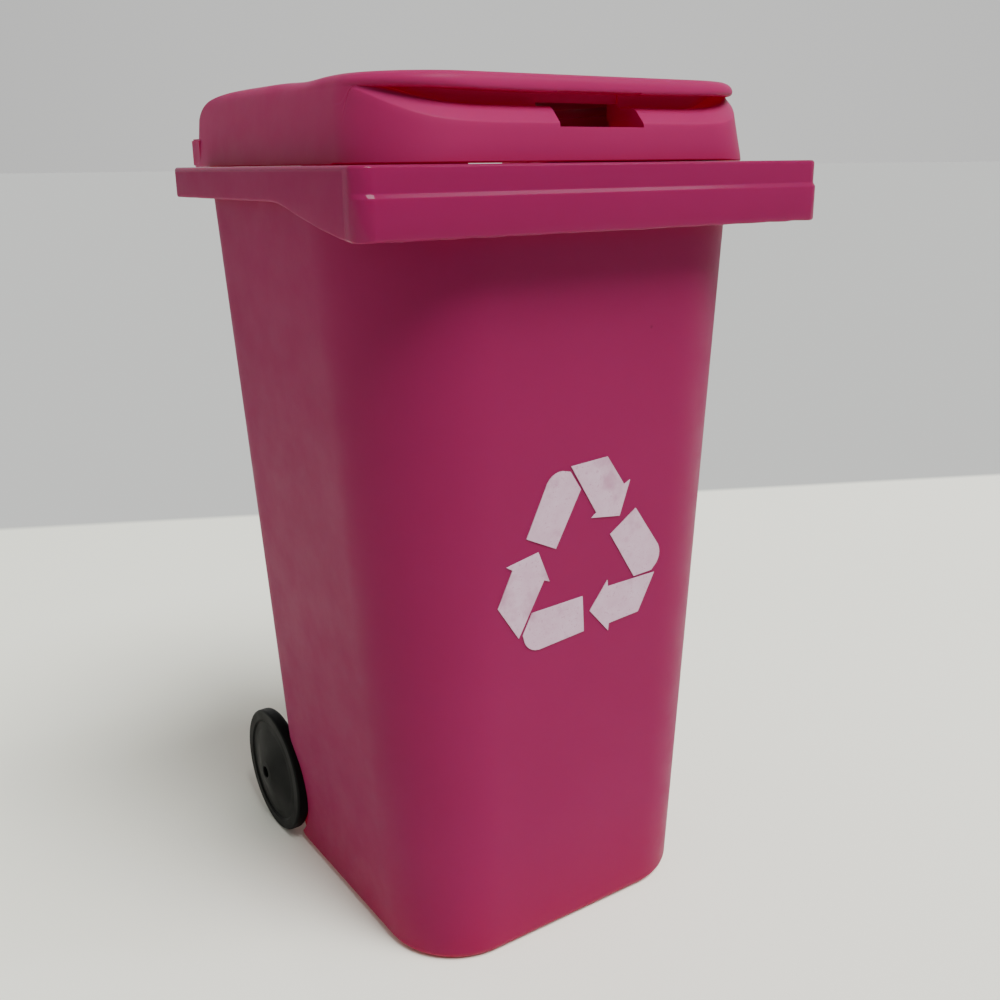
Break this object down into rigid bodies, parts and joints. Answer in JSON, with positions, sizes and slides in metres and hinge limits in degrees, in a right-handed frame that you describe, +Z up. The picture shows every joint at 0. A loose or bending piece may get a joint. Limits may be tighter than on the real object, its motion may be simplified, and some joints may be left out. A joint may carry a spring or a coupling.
{
  "type": "miniature wheelie bin",
  "caption": "Small pink plastic wheelie bin with a hinged visor lid, dark wheels on an axle behind the foot and a white recycling loop printed on the front.",
  "frame": {"origin": "centre of the flat underside of the tub, on the ground", "axes": "+X is the bin's left to right as seen from its front, -Y is its front, +Z is up"},
  "size_m": [0.0702, 0.0686, 0.12],
  "materials": {
    "body_plastic": "fine satin moulding, glossier on the skirt of the rim",
    "lid_plastic": "smooth moulded plastic with soft highlights",
    "steel_rod": "plain drawn wire",
    "wheel_plastic": "dark moulded plastic with a slight sheen",
    "white_ink": "thin pad-printed ink, slightly worn"
  },
  "bodies": {
    "bin": {"tub": "body_plastic", "axle": "steel_rod", "print_arrow_top": "white_ink", "print_arrow_right": "white_ink", "print_arrow_left": "white_ink"},
    "lid": {"lid": "lid_plastic", "hinge_rod": "steel_rod"},
    "left_wheel": {"wheel_left": "wheel_plastic"},
    "right_wheel": {"wheel_right": "wheel_plastic"}
  },
  "joints": [
    {"name": "lid_hinge", "type": "hinge", "parent": "bin", "child": "lid", "pos_m": [0, 0.0285, 0.1122], "axis": [-1, 0, 0], "range_deg": [0, 205]},
    {"name": "left_wheel_spin", "type": "hinge", "parent": "bin", "child": "left_wheel", "pos_m": [-0.0256, 0.026, 0.0105], "axis": [-1, 0, 0], "continuous": true},
    {"name": "right_wheel_spin", "type": "hinge", "parent": "bin", "child": "right_wheel", "pos_m": [0.0256, 0.026, 0.0105], "axis": [1, 0, 0], "continuous": true}
  ]
}
